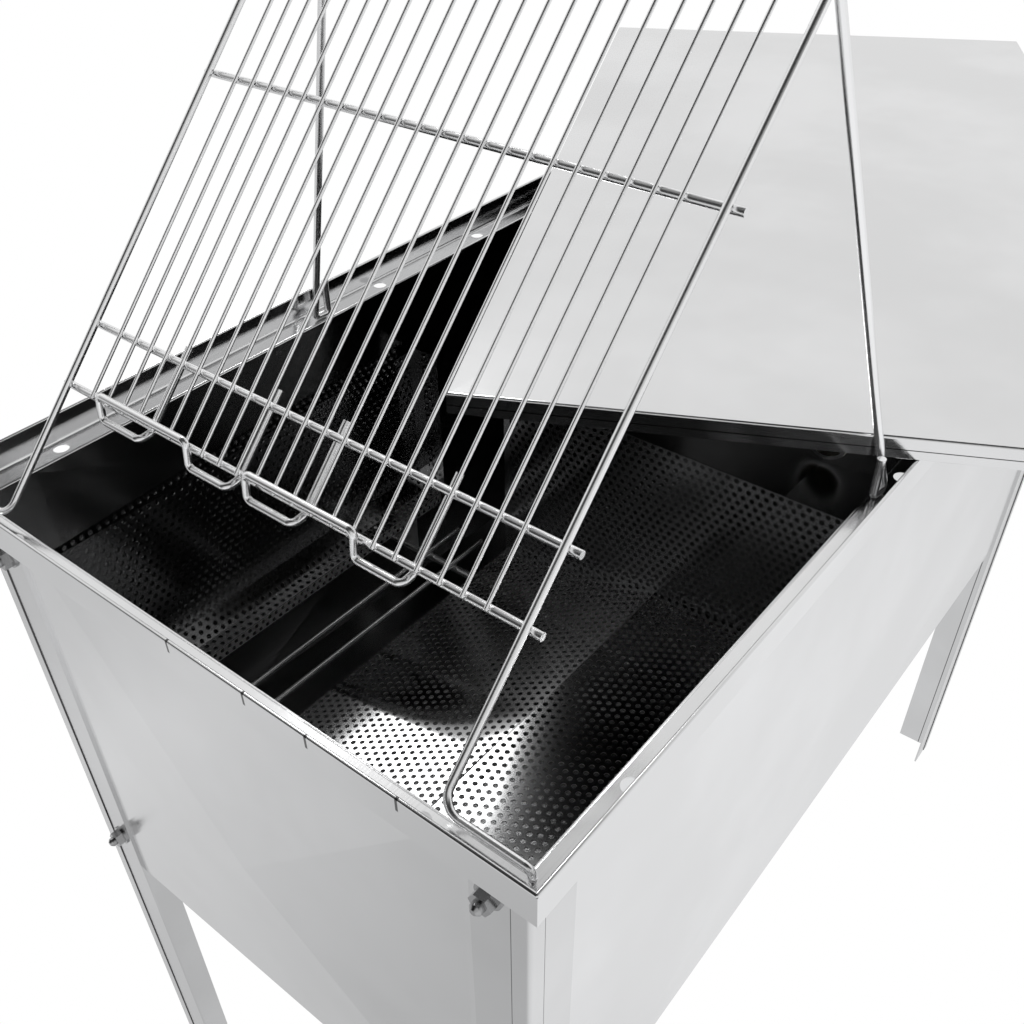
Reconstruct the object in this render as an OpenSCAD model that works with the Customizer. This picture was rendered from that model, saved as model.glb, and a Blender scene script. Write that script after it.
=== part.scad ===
// Uncapping tank: an open sheet-metal tank on four angle legs, with a wire frame rack on two
// props, two perforated sieve trays, a loose lid laid askew and a honey gate at the far end.
// Millimetres, +Z up, X across, Y from the near end to the far end, floor at Z = 0.

/* [Tank] */
// Width over the rim
tank_w = 520; // [440:10:640]
// Length over the rim
tank_l = 1000; // [900:10:1200]
// Height of the rim's top above the floor
rim_z = 825; // [760:5:950]
// Depth of the walls, from the rim's top to their lower edge
wall_d = 427; // [380:1:460]
// Thickness of the sheet
sheet = 1.2; // [0.8:0.1:2]
// Rise of the cross-break at the middle of each wall
crease = 12; // [2:1:14]
// Flat margin beside each cross-break, under the leg flanges
crease_margin = 44; // [42:1:60]
// Flat margin above and below each cross-break
crease_edge = 1; // [1:1:3]
// Fall of the tank floor to the far end, in degrees
floor_fall = 2.5; // [1:0.1:3]
// Slope of the tank floor to its middle line, in degrees
floor_tilt = 4; // [1:0.1:5]
// Height of the floor's lowest point above the walls' lower edge
floor_rise = 12; // [6:1:20]

/* [Rim] */
// Width of the level ledge
ledge_w = 20; // [18:1:26]
// Height of the upstand over the ledge
lip_h = 23; // [20:1:30]
// Thickness of the folded hem
hem_t = 2.6; // [2.4:0.1:3]
// Height of the folded hem
hem_h = 9; // [6:1:12]
// Diameter of the holes in the ledge
ledge_hole_d = 12; // [8:1:13]
// Place of the first ledge hole from each end
ledge_hole_a = 92; // [60:1:120]
// Place of the second ledge hole from each end
ledge_hole_b = 430; // [380:1:440]
// Distance between the two holes in each end ledge
ledge_hole_span = 360; // [300:10:400]

/* [Legs] */
// Width of a leg flange
leg_w = 40; // [36:1:42]
// Thickness of a leg
leg_t = 2; // [1.5:0.5:3]
// Width of the doubled strip along the leg's corner
bead_w = 12; // [8:1:13]
// Thickness of that strip
bead_t = 0.8; // [0.5:0.1:1]
// Bend radius at the leg's corner
leg_r = 3; // [2:0.5:4]
// Distance of the studs from the leg's corner
stud_in = 26; // [25:1:27]
// Diameter of the welded studs
stud_d = 8; // [6:1:8]
// Length of a stud outside the leg
stud_out = 13; // [12:1:18]
// Height over flats of the nuts
nut_af = 13; // [11:1:14]
// Thickness of the nuts
nut_h = 6.5; // [5:0.5:7]
// Diameter of the washers
washer_d = 18; // [16:1:20]
// Thickness of the washers
washer_t = 1.5; // [1:0.5:2]
// Upper studs below the rim's top
stud_hi = 60; // [50:1:90]
// Lower studs above the walls' lower edge
stud_lo = 42; // [30:1:60]
// Clearance round fasteners
fit = 0.1; // [0.05:0.05:0.3]

/* [Rack] */
// Distance between the side rods
rack_w = 381; // [340:1:384]
// Distance along the rack from its foot to the top bar
rack_top = 465; // [455:1:480]
// Lean of the rack from the horizontal, in degrees
rack_lean = 45.5; // [44:0.5:48]
// Diameter of the side rods and cross bars
bar_d = 5; // [4:0.5:5]
// Diameter of the grid wires
wire_d = 2.5; // [2:0.5:3]
// Number of grid wires
wire_n = 22; // [12:1:22]
// Pitch of the grid wires
wire_pitch = 15.74; // [14:0.01:16]
// Length of a wire's end below the lowest cross bar's middle
wire_over = 1; // [0:0.1:1.2]
// Cross bars up the rack, measured from its foot
bar_at = [97, 141, 321];
// Length of a cross bar's end beyond the side rod
bar_over = 8; // [5:1:10]
// Length of the feet outside the side rods
foot_run = 57; // [50:1:58]
// Height of the feet's level run above the ledge
foot_up = 9; // [8:1:12]
// Distance of the feet from the rim's outer face
foot_in = 17; // [14:1:17]
// Offset of the rack from the tank's middle
rack_off = -3; // [-3:1:3]
// Lowest point of the frame rests, up the rack
rest_at = 86; // [84:1:87]

/* [Frame rests] */
// Distance from the rack's middle to each rest's middle
rest_x = 70; // [66:1:74]
// Distance between a rest's two shanks
rest_w = 83.5; // [80:0.5:86]
// Reach of a rest's side loop beyond its shank
rest_loop = 38; // [36:1:40]
// Length of a rest's front rail
rest_rail = 87; // [84:1:90]
// Rise of the front rail, up the rack
rest_rise = 14; // [13:1:16]
// Stand-off of the front rail from the low wire, square to the rack
rest_out = 11; // [10.5:0.5:12]
// Height of the low wire over the cross bars' middle, square to the rack
rest_low = 1; // [0.5:0.5:1]
// Height of the shanks' knees above the low wire, up the rack
rest_knee = 7; // [6:1:8]
// Top of the shanks, up the rack
rest_top = 152; // [150:1:170]
// Bend radius of the rests
rest_r = 4; // [3:0.5:4]

/* [Props] */
// Diameter of the prop rods
prop_d = 6; // [5:0.5:6]
// Distance from the rack's middle to each prop's eye
prop_x = 175; // [168:1:178]
// Right prop's foot from the rim's near outer face
prop_right_y = 407; // [395:1:409]
// Left prop's foot from the rim's near outer face
prop_left_y = 345; // [335:1:355]
// Props' feet from the rim's side outer faces
prop_in = 14.5; // [13:0.5:16]
// Height of the turned-up toe
toe_h = 30; // [20:1:34]
// Distance along the ledge from a prop's foot to its turned-up toe
toe_w = 14; // [10:0.5:18]
// How much nearer to the tank's middle the toe stands
toe_in = 1.5; // [0:0.5:3]
// Bend radius of a prop's foot and toe
toe_r = 3.6; // [3.2:0.2:4]

/* [Lid] */
// How much wider than the rim the lid is
lid_over_w = 13; // [8:1:20]
// How much longer than the rim the lid is
lid_over_l = 13; // [8:1:20]
// Height of the lid's turned-down edge
lid_h = 17; // [14:1:22]
// Height of the hem along the lid's turned-down edge
lid_hem_h = 7; // [4:1:9]
// Flat border round the lid's cross-break
lid_border = 4; // [3:1:8]
// Rise of the lid's cross-break
lid_crease = 6; // [3:1:8]
// Turn of the lid on the tank, in degrees
lid_turn = 27; // [24:0.5:28]
// Lid's near left corner from the tank's middle line
lid_x = -30; // [-40:1:-20]
// Lid's near left corner from the rim's near outer face
lid_y = 273; // [270:1:290]

/* [Sieve trays] */
// Length of the trays
tray_l = 429; // [400:1:435]
// Distance of the trays from the near wall
tray_in = 6; // [4:1:8]
// Distance of the trays from the side walls
tray_side = 4; // [3:1:6]
// Top of the trays below the rim
tray_top = 95; // [85:1:110]
// Bottom of the trays below the rim
tray_low = 300; // [290:1:310]
// Thickness of the perforated sheet
tray_t = 1; // [0.8:0.1:1.5]
// Distance of the right tray's ridge from the tank's middle
ridge_x = 55; // [40:1:70]
// Depth of the right tray's ridge below the rim
ridge_z = 253; // [245:1:260]
// Rise of the right tray's floor from the ridge to the side
right_rise = 6; // [3:1:12]
// Distance of the right tray's inner edge from the tank's middle
right_edge_x = -125; // [-135:1:-110]
// Depth of the right tray's inner edge below the rim
right_edge_z = 292; // [280:1:296]
// Width of the left tray
left_w = 28; // [24:1:34]
// Depth of the left tray's fold below the rim
left_z = 250; // [240:1:260]
// Height of the left tray's slanted strip
left_rise = 15; // [12:1:20]
// Fall of the left tray's bottom to its inner edge
left_fall = 2; // [1:1:3]
// Height of the left tray's inner lip
left_lip = 12; // [8:1:14]
// Diameter of the holes in the trays
hole_d = 6; // [4:0.5:7]
// Pitch of the holes in the trays
hole_pitch = 12; // [12:1:24]
// Plain border round the holes
hole_edge = 6; // [4:1:12]
// Width of the plain strips beside the folds
fold_w = 8; // [6:1:10]
// Diameter of the two cross rods under the trays
cross_d = 8; // [6:1:10]
// Diameter of the two long rods between the trays
rail_d = 6; // [5:1:8]
// First long rod from the tank's middle
rail_x = -158; // [-162:1:-150]
// Distance between the long rods
rail_gap = 32; // [24:1:34]

/* [Honey gate] */
// Bore of the outlet
port_d = 50; // [40:1:52]
// Wall of the outlet collar
collar_t = 5; // [4:0.5:6]
// Length of the outlet collar outside the wall
collar_l = 33; // [30:1:40]
// Height of the outlet's middle above the floor's lowest point
port_up = 34; // [32:1:45]
// Wall of the gate's socket
socket_t = 8; // [6:1:9]
// Thickness of the gate's face plate
face_t = 8; // [7:1:12]
// Distance of the pivot and the clamp stud from the port's middle
ear_x = 48; // [46:1:55]
// Radius of the ears
ear_r = 11; // [9:1:12]
// Thickness of the blade
blade_t = 4; // [3:1:6]
// Radius of the blade
blade_r = 33; // [31:1:34]
// Diameter of the pivot and the clamp stud
pin_d = 6; // [5:1:8]
// Distance between the face plate and the blade
blade_gap = 1; // [0.8:0.1:1.2]
// Length of the blade's thumb tab
tab_l = 28.6; // [24:0.2:34]
// Turn of the thumb tab from the blade's line, in degrees
tab_turn = 58; // [50:1:70]
// Half width of the wing nut over its wings
wing_r = 17; // [15:1:19]

/* [Hidden] */
$fn = 32;
// Sides of the largest circles
fine = 64;

// Gap at rest between bodies that stand on each other
seat = 0.3;
// How far a welded rod's end sinks into its wall
weld = 0.1;
// Small overlap that joins two solids of one piece
lap = 0.5;
// How much slimmer a rod is in its bends and at its rounded ends, and how far it reaches into them
slim = 0.08;
bite = 0.3;

// Half sizes of the tank, over the rim and inside the walls
hw = tank_w / 2;
hl = tank_l / 2;
iw = hw - ledge_w;
il = hl - ledge_w;
ledge_z = rim_z - lip_h;
wall_z = rim_z - wall_d;
wall_h = ledge_z - sheet - wall_z;
valley_z = wall_z + floor_rise;
near_y = -hl;

// The lid's corners, and the middle of the whole outline on the floor
lid_w = tank_w + lid_over_w;
lid_l = tank_l + lid_over_l;
lid_at = [lid_x, near_y + lid_y];
function lid_corner(x, y) = lid_at + [x * cos(lid_turn) - y * sin(lid_turn),
    x * sin(lid_turn) + y * cos(lid_turn)];
span_x = [min(-hw, lid_corner(0, lid_l).x), max(hw, lid_corner(lid_w, 0).x)];
span_y = [near_y, max(hl, lid_corner(lid_w, lid_l).y)];
middle = [(span_x[0] + span_x[1]) / 2, (span_y[0] + span_y[1]) / 2, 0];
module place() translate(-middle) children();

// Outward bulge of a cross-broken wall of half length h_len, at a place along it and a height
function bulge(h_len, along, z) = crease * max(0, min(
    (h_len - abs(along) - crease_margin) / (h_len - crease_margin),
    (min(z - wall_z, ledge_z - sheet - z) - crease_edge) / (wall_h / 2 - crease_edge)));

// A straight round rod between two points
module rod(a, b, r) {
    d = b - a;
    translate(a) rotate([0, acos(d.z / norm(d)), atan2(d.y, d.x)]) cylinder(h = norm(d), r = r);
}
function unit(v) = v / norm(v);
function turn(p, q, s) = acos(unit(q - p) * unit(s - q));
function tangent(p, q, s, bend) = bend * tan(turn(p, q, s) / 2);

// One bend of a rod at q, as part of a torus a hair slimmer than the rod
module rod_bend(p, q, s, bend, r) {
    along = unit(q - p);
    inward = unit(unit(s - q) - along * (unit(s - q) * along));
    start = q - along * tangent(p, q, s, bend);
    side = cross(-inward, along);
    c = start + inward * bend;
    multmatrix([[-inward.x, along.x, side.x, c.x], [-inward.y, along.y, side.y, c.y],
        [-inward.z, along.z, side.z, c.z], [0, 0, 0, 1]])
        rotate_extrude(angle = turn(p, q, s)) translate([bend, 0]) circle(r - slim);
}

// A rod bent at each inner point, with one bend radius for each bend
module bent_rod(pts, bends, r) {
    last = len(pts) - 1;
    cut = [for (i = [0 : last]) i == 0 || i == last ? 0
        : tangent(pts[i - 1], pts[i], pts[i + 1], bends[i - 1])];
    over = function(i) i == 0 || i == last ? 0 : cut[i] - bite;
    for (i = [0 : last - 1]) {
        d = unit(pts[i + 1] - pts[i]);
        rod(pts[i] + d * over(i), pts[i + 1] - d * over(i + 1), r);
    }
    for (i = [1 : last - 1]) rod_bend(pts[i - 1], pts[i], pts[i + 1], bends[i - 1], r);
}

// A sheet with a flat border and a shallow four-sided break, rising to its middle, w by h
module broken_panel(w, h, margin_w, margin_h, rise, t) {
    outer = [[0, 0], [w, 0], [w, h], [0, h]];
    inner = [[margin_w, margin_h], [w - margin_w, margin_h],
        [w - margin_w, h - margin_h], [margin_w, h - margin_h]];
    layer = function(z) concat([for (p = outer) [p.x, p.y, z]], [for (p = inner) [p.x, p.y, z]],
        [[w / 2, h / 2, z + rise]]);
    n = 9;
    face = function(k) concat([for (i = [0 : 3]) [k + i, k + 4 + i, k + 4 + (i + 1) % 4, k + (i + 1) % 4]],
        [for (i = [0 : 3]) [k + 4 + i, k + 8, k + 4 + (i + 1) % 4]]);
    flip = function(f) [for (i = [len(f) - 1 : -1 : 0]) f[i]];
    polyhedron(points = concat(layer(0), layer(-t)), faces = concat(face(0),
        [for (f = face(n)) flip(f)], [for (i = [0 : 3]) [i, (i + 1) % 4, n + (i + 1) % 4, n + i]]));
}

// A band round the tank between an outer and an inner rectangle
module band(out_w, out_l, in_w, in_l, z, h)
    translate([0, 0, z]) linear_extrude(h) difference() {
        square([2 * out_w, 2 * out_l], center = true);
        square([2 * in_w, 2 * in_l], center = true);
    }

module rim_ledge() color("gainsboro") place() difference() {
    band(hw, hl, iw, il, ledge_z - sheet, sheet);
    for (sx = [-1, 1]) for (y = [ledge_hole_a - hl, ledge_hole_b - hl, hl - ledge_hole_b, hl - ledge_hole_a])
        translate([sx * (hw - ledge_w / 2), y, ledge_z - 2 * sheet])
            cylinder(h = 3 * sheet, d = ledge_hole_d);
    for (sx = [-1, 1]) for (sy = [-1, 1])
        translate([sx * ledge_hole_span / 2, sy * (hl - ledge_w / 2), ledge_z - 2 * sheet])
            cylinder(h = 3 * sheet, d = ledge_hole_d);
}
module rim_lip() color("gainsboro") place() {
    hem_r = hem_t / 2;
    hem_x = hw - hem_r;
    hem_y = hl - hem_r;
    hem_z = rim_z - hem_r;
    band(hw, hl, hw - sheet, hl - sheet, ledge_z, lip_h - hem_h);
    band(hw, hl, hw - hem_t, hl - hem_t, rim_z - hem_h, hem_h - hem_r);
    for (s = [-1, 1]) {
        rod([s * hem_x, -hem_y, hem_z], [s * hem_x, hem_y, hem_z], hem_r);
        rod([-hem_x, s * hem_y, hem_z], [hem_x, s * hem_y, hem_z], hem_r);
    }
    for (sx = [-1, 1]) for (sy = [-1, 1]) translate([sx * hem_x, sy * hem_y, hem_z]) sphere(hem_r);
}

// A wall, its outer face this far outside its inner one, and this thick
module end_wall(out = sheet, t = sheet) translate([-iw - sheet, -il, wall_z]) rotate([90, 0, 0])
    translate([0, 0, out]) broken_panel(2 * (iw + sheet), wall_h, crease_margin, crease_edge, crease, t);
module side_wall(out = sheet, t = sheet) translate([iw, -il, wall_z]) rotate([90, 0, 90])
    translate([0, 0, out]) broken_panel(2 * il, wall_h, crease_margin, crease_edge, crease, t);
port_z = valley_z + port_up;
collar_r = port_d / 2 + collar_t;

module wall_near() color("silver") place() end_wall();
module wall_far() color("silver") place() difference() {
    mirror([0, 1, 0]) end_wall();
    translate([0, il - crease, port_z]) rotate([-90, 0, 0])
        cylinder(h = 3 * crease, r = collar_r + seat, $fn = fine);
}
module wall_left() color("silver") place() mirror([1, 0, 0]) side_wall();
module wall_right() color("silver") place() side_wall();

// The room between the walls' inner faces
module inside() {
    translate([-iw, -il, wall_z]) cube([2 * iw, 2 * il, wall_h]);
    for (s = [0, 1]) mirror([s, 0, 0]) side_wall(0, ledge_w);
    for (s = [0, 1]) mirror([0, s, 0]) intersection() {
        end_wall(0, ledge_w);
        translate([-iw, -hl, wall_z]) cube([2 * iw, hl, wall_h]);
    }
}
module tank_floor() color("darkgray") place() intersection() {
    inside();
    translate([0, il, valley_z]) rotate([-floor_fall, 0, 0]) for (s = [0, 1]) mirror([s, 0, 0])
        rotate([0, -floor_tilt, 0]) translate([-lap, -2 * hl, -sheet])
            cube([hw + lap, 2 * hl + ledge_w, sheet]);
}

tray_y = -il + tray_in;
cross_z = rim_z - tray_low - seat - cross_d / 2;
cross_inset = 45;
cross_ys = [tray_y + cross_inset, tray_y + tray_l - cross_inset];
module sieve_cross_rods() color("silver") place() for (y = cross_ys) {
    reach = iw + bulge(il, y, cross_z) + weld;
    rod([-reach, y, cross_z], [reach, y, cross_z], cross_d / 2);
}
module sieve_long_rods() color("silver") place() for (x = [rail_x, rail_x - rail_gap])
    translate([x, tray_y, cross_z + (cross_d + rail_d) / 2]) rotate([-90, 0, 0])
        cylinder(h = tray_l, d = rail_d);

// A leg's outline, with its corner at the origin and its flanges along +X and +Y
module leg_outline() difference() {
    union() {
        difference() {
            square(leg_w);
            translate([leg_t, leg_t]) square(leg_w);
        }
        difference() {
            translate([-bead_t, -bead_t]) square(bead_w + bead_t);
            translate([leg_t / 2, leg_t / 2]) square(bead_w);
        }
    }
    translate([-bead_t, -bead_t]) difference() {
        translate([-lap, -lap]) square(leg_r + lap);
        translate([leg_r, leg_r]) circle(leg_r);
    }
}
leg_off = ledge_w - sheet - leg_t;
stud_x = leg_off + stud_in;
stud_zs = [rim_z - stud_hi, wall_z + stud_lo];
stud_hole_d = stud_d + 1;
module leg() difference() {
    translate([leg_off - hw, leg_off - hl, 0]) linear_extrude(ledge_z - sheet) leg_outline();
    for (z = stud_zs) translate([stud_x - hw, leg_off - hl - lap, z]) rotate([-90, 0, 0])
        cylinder(h = leg_t + 2 * lap, d = stud_hole_d);
}
module leg_near_left() color("lightgray") place() leg();
module leg_near_right() color("lightgray") place() mirror([1, 0, 0]) leg();
module leg_far_left() color("lightgray") place() mirror([0, 1, 0]) leg();
module leg_far_right() color("lightgray") place() mirror([1, 0, 0]) mirror([0, 1, 0]) leg();

// Puts its child at each stud, with +Z pointing out of the end wall's outer face
module at_studs() for (sx = [0, 1]) mirror([sx, 0, 0]) for (sy = [0, 1]) mirror([0, sy, 0])
    for (z = stud_zs) translate([stud_x - hw, -il - sheet, z]) rotate([90, 0, 0]) children();
stud_l = leg_t + stud_out;
stud_tip = stud_d / 4;
module leg_studs() color("gainsboro") place() at_studs() {
    cylinder(h = stud_l - stud_tip, d = stud_d);
    translate([0, 0, stud_l - stud_tip]) cylinder(h = stud_tip, d1 = stud_d, d2 = stud_d - 2 * stud_tip);
}
module leg_washers() color("gainsboro") place() at_studs()
    translate([0, 0, leg_t]) difference() {
        cylinder(h = washer_t, d = washer_d);
        translate([0, 0, -lap]) cylinder(h = washer_t + 2 * lap, d = stud_d + 2 * fit);
    }
module leg_nuts() color("silver") place() at_studs()
    translate([0, 0, leg_t + washer_t]) difference() {
        cylinder(h = nut_h, d = nut_af / cos(30), $fn = 6);
        translate([0, 0, -lap]) cylinder(h = nut_h + 2 * lap, d = stud_d + 2 * fit);
    }

// Puts its child on the rim, turned as the lid is, with the lid's near left corner at the origin
module on_rim() translate([lid_at.x, lid_at.y, rim_z + seat]) rotate([0, 0, lid_turn]) children();
module lid_top() color("whitesmoke") place() on_rim()
    translate([0, 0, lid_h]) broken_panel(lid_w, lid_l, lid_border, lid_border, lid_crease, sheet);
module lid_band(t, h) linear_extrude(h) difference() {
    square([lid_w, lid_l]);
    translate([t, t]) square([lid_w - 2 * t, lid_l - 2 * t]);
}
module lid_edge() color("whitesmoke") place() on_rim() {
    lid_band(sheet, lid_h - sheet);
    lid_band(2 * sheet, lid_hem_h);
}

// A point on the rack: across, up the rack from its foot, and out of its upper side
rack_x = rack_off;
rack_y = near_y + foot_in;
rack_z = ledge_z + foot_up;
function on_rack(x, up, out) = [rack_x + x,
    rack_y + up * cos(rack_lean) - out * sin(rack_lean),
    rack_z + up * sin(rack_lean) + out * cos(rack_lean)];
bar_r = bar_d / 2;
wire_r = wire_d / 2;
rod_x = rack_w / 2;
foot_z = ledge_z + seat + bar_r;
// Bend radii of the side rods, at the corner and at the foot
foot_bends = [12, 5];
module rack_rod(s) {
    run_end = on_rack(s * (rod_x + foot_run), 0, 0);
    foot = [run_end.x, run_end.y, foot_z];
    bent_rod([on_rack(s * rod_x, rack_top + bar_over, 0), on_rack(s * rod_x, 0, 0), run_end, foot],
        foot_bends, bar_r);
    translate(foot) sphere(bar_r - slim);
}
module rack_rod_left() color("silver") place() rack_rod(-1);
module rack_rod_right() color("silver") place() rack_rod(1);
module cross_bar(up) rod(on_rack(-rod_x - bar_over, up, -bar_d),
    on_rack(rod_x + bar_over, up, -bar_d), bar_r);
module rack_bars() color("silver") place() for (up = bar_at) cross_bar(up);
module rack_top_bar() color("silver") place() cross_bar(rack_top);
module rack_wires() color("silver") place() for (i = [0 : wire_n - 1]) {
    x = (i - (wire_n - 1) / 2) * wire_pitch;
    rod(on_rack(x, bar_at[0] - wire_over, wire_r - bar_r), on_rack(x, rack_top + bar_r, wire_r - bar_r), wire_r);
}

// A frame rest: one wire, down one shank, round its low loops and front rail, and up the other
module frame_rest(mid) {
    a = mid - rest_w / 2;
    b = mid + rest_w / 2;
    loop_x = a - rest_loop;
    rail_end = loop_x + rest_rail;
    back = -2 * bar_d;
    low = rest_low - bar_d;
    knee = rest_at + rest_knee;
    high = rest_at + rest_rise;
    front = low + rest_out;
    bent_rod([on_rack(a, rest_top, back), on_rack(a, knee, back), on_rack(a, rest_at, low),
        on_rack(loop_x, rest_at, low), on_rack(loop_x, high, front), on_rack(rail_end, high, front),
        on_rack(rail_end, rest_at, low), on_rack(b, rest_at, low), on_rack(b, knee, back),
        on_rack(b, rest_top, back)], [for (i = [1 : 8]) rest_r], bar_r);
}
module frame_rest_left() color("silver") place() frame_rest(-rest_x);
module frame_rest_right() color("silver") place() frame_rest(rest_x);

// A prop: an eye round the top bar, a straight rod and a turned-up toe on the ledge
module prop(s, foot_y) {
    prop_r = prop_d / 2;
    eye_r = bar_r + fit + prop_r;
    eye = on_rack(s * prop_x, rack_top, -bar_d);
    foot = [s * (hw - prop_in), near_y + foot_y, ledge_z + seat + prop_r];
    toe = foot - s * [toe_in, toe_w, 0];
    translate(eye) rotate([0, 90, 0]) rotate_extrude() translate([eye_r, 0]) circle(prop_r - slim);
    bent_rod([eye + unit(foot - eye) * eye_r, foot, toe, toe + [0, 0, toe_h]], [toe_r, toe_r], prop_r);
}
module prop_left() color("silver") place() prop(-1, prop_left_y);
module prop_right() color("silver") place() prop(1, prop_right_y);

// A folded sheet's section, drawn across X and down from the rim: point i, moved h to its left
function side(pts, i, h) = let (
    last = len(pts) - 1,
    d = unit(pts[min(i + 1, last)] - pts[min(i, last - 1)]),
    e = unit(pts[max(i, 1)] - pts[max(i - 1, 0)]),
    m = [-d.y - e.y, d.x + e.x]) pts[i] + m * h / (1 + d * e);
module along_trays(y, l) translate([0, y + l, rim_z]) rotate([90, 0, 0]) linear_extrude(l) children();
module folded(pts) along_trays(tray_y, tray_l) polygon(concat(
    [for (i = [0 : len(pts) - 1]) side(pts, i, tray_t / 2)],
    [for (i = [len(pts) - 1 : -1 : 0]) side(pts, i, -tray_t / 2)]));

// Staggered rows of round holes over a w by l rectangle that starts at the origin
module holes(w, l) {
    row = hole_pitch * sqrt(3) / 2;
    across = floor((w - 2 * hole_edge - hole_d) / hole_pitch);
    rows = floor((l - 2 * hole_edge - hole_d) / row);
    for (j = [0 : rows]) for (i = [0 : across - j % 2])
        translate([w / 2 + (i - (across - j % 2) / 2) * hole_pitch, l / 2 + (j - rows / 2) * row])
            circle(d = hole_d);
}
module perforated(w, l) linear_extrude(tray_t) difference() {
    square([w, l]);
    holes(w, l);
}

// The flat perforated part between points p and q of a section, and an end plate from x0 to x1
module flat_part(p, q) translate([p.x, tray_y, rim_z + p.y])
    rotate([0, -atan2(q.y - p.y, q.x - p.x), 0]) translate([0, 0, -tray_t / 2]) perforated(norm(q - p), tray_l);
module end_plates(x0, x1) for (y = [tray_y, tray_y + tray_l + tray_t])
    translate([x0, y, rim_z - tray_low]) rotate([90, 0, 0]) perforated(x1 - x0, tray_low - tray_top);

// Bearers under a tray's floor, from the second point to the fourth, standing on the cross rods
module bearers(pts, h) for (y = cross_ys) along_trays(y - tray_t / 2, tray_t) polygon(concat(
    [for (i = [1 : 3]) side(pts, i, h)],
    [[side(pts, 3, h).x, -tray_low], [side(pts, 1, h).x, -tray_low]]));

// Sections of the two trays, from the top of the side wall round to the inner lip
tray_x = iw - tray_side;
right_pts = [[tray_x, -tray_top], [tray_x, right_rise - ridge_z], [ridge_x, -ridge_z],
    [right_edge_x, -right_edge_z], [right_edge_x, -tray_low]];
left_edge = [left_w - tray_x, -left_z - left_fall];
left_pts = [[-tray_x, -tray_top], [-tray_x, left_rise - left_z], [left_w / 2 - tray_x, -left_z],
    left_edge, left_edge - [0, left_lip]];
// The place on a section that lies fold_w from point i, towards point j
function beside(pts, i, j) = pts[i] + unit(pts[j] - pts[i]) * fold_w;
module between(pts, i) flat_part(i == 0 ? pts[0] : beside(pts, i, i + 1), beside(pts, i + 1, i));

module sieve_right_side() color("dimgray") place() between(right_pts, 0);
module sieve_right_floor() color("dimgray") place() between(right_pts, 1);
module sieve_right_slope() color("dimgray") place() between(right_pts, 2);
module sieve_right_folds() color("gray") place() {
    for (i = [1, 2]) folded([beside(right_pts, i, i - 1), right_pts[i], beside(right_pts, i, i + 1)]);
    folded([beside(right_pts, 3, 2), right_pts[3], right_pts[4]]);
}
module sieve_right_ends() color("gray") place() {
    end_plates(right_edge_x - tray_t / 2, tray_x + tray_t / 2);
    bearers(right_pts, tray_t / 2);
}
module sieve_left_side() color("dimgray") place() between(left_pts, 0);
module sieve_left_folds() color("gray") place()
    folded([beside(left_pts, 1, 0), left_pts[1], left_pts[2], left_pts[3], left_pts[4]]);
module sieve_left_ends() color("gray") place() {
    end_plates(-tray_x - tray_t / 2, -tray_x + left_w + tray_t / 2);
    bearers(left_pts, -tray_t / 2);
}

// Places along the outlet, from the far wall's outer face outward
wall_y = il + sheet;
face_y = wall_y + collar_l;
blade_y = face_y + face_t + blade_gap;
module at_port(y) translate([0, y, port_z]) rotate([-90, 0, 0]) mirror([0, 1, 0]) children();
module ear_outline(r_mid) {
    circle(r_mid, $fn = fine);
    for (s = [-1, 1]) hull() {
        circle(ear_r);
        translate([s * ear_x, 0]) circle(ear_r);
    }
}
module outlet_collar() color("gainsboro") place() at_port(il) difference() {
    cylinder(h = collar_l + sheet, r = collar_r, $fn = fine);
    translate([0, 0, -lap]) cylinder(h = collar_l + sheet + 2 * lap, d = port_d, $fn = fine);
}
// Length of the gate's socket on the collar, and the seal's inner radius, width and place
socket_l = 18;
seal_r = port_d / 2 + 2;
seal_t = 3;
seal_z = face_t - seal_t + blade_gap - 2 * fit;
module gate_body() color("whitesmoke") place() at_port(face_y) difference() {
    union() {
        translate([0, 0, -socket_l]) cylinder(h = socket_l + lap, r = collar_r + socket_t, $fn = fine);
        linear_extrude(face_t) ear_outline(collar_r + socket_t);
    }
    translate([0, 0, -socket_l - lap]) cylinder(h = socket_l + lap, r = collar_r + fit, $fn = fine);
    translate([0, 0, -lap]) cylinder(h = face_t + 2 * lap, d = port_d, $fn = fine);
    translate([0, 0, seal_z]) difference() {
        cylinder(h = seal_t, r = seal_r + seal_t + fit, $fn = fine);
        translate([0, 0, -lap]) cylinder(h = seal_t + 2 * lap, r = seal_r - fit, $fn = fine);
    }
    for (s = [-1, 1]) translate([s * ear_x, 0, -lap]) cylinder(h = face_t + 2 * lap, d = pin_d + 2 * fit);
}
module gate_seal() color("dimgray") place() at_port(face_y + seal_z) difference() {
    cylinder(h = seal_t - fit, r = seal_r + seal_t, $fn = fine);
    translate([0, 0, -lap]) cylinder(h = seal_t + lap, r = seal_r, $fn = fine);
}
// A pin through an ear, with a hexagon head behind the face plate
pin_head_af = 1.7 * pin_d;
module pin(l) {
    translate([0, 0, -pin_d / 2]) cylinder(h = pin_d / 2, d = pin_head_af / cos(30), $fn = 6);
    cylinder(h = l, d = pin_d);
}
pivot_l = face_t + blade_gap + blade_t + 2 * seat;
module gate_pivot() color("silver") place() at_port(face_y) translate([-ear_x, 0, 0]) {
    pin(pivot_l);
    translate([0, 0, pivot_l]) cylinder(h = pin_d / 3, d = 2 * pin_d);
}
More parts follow.
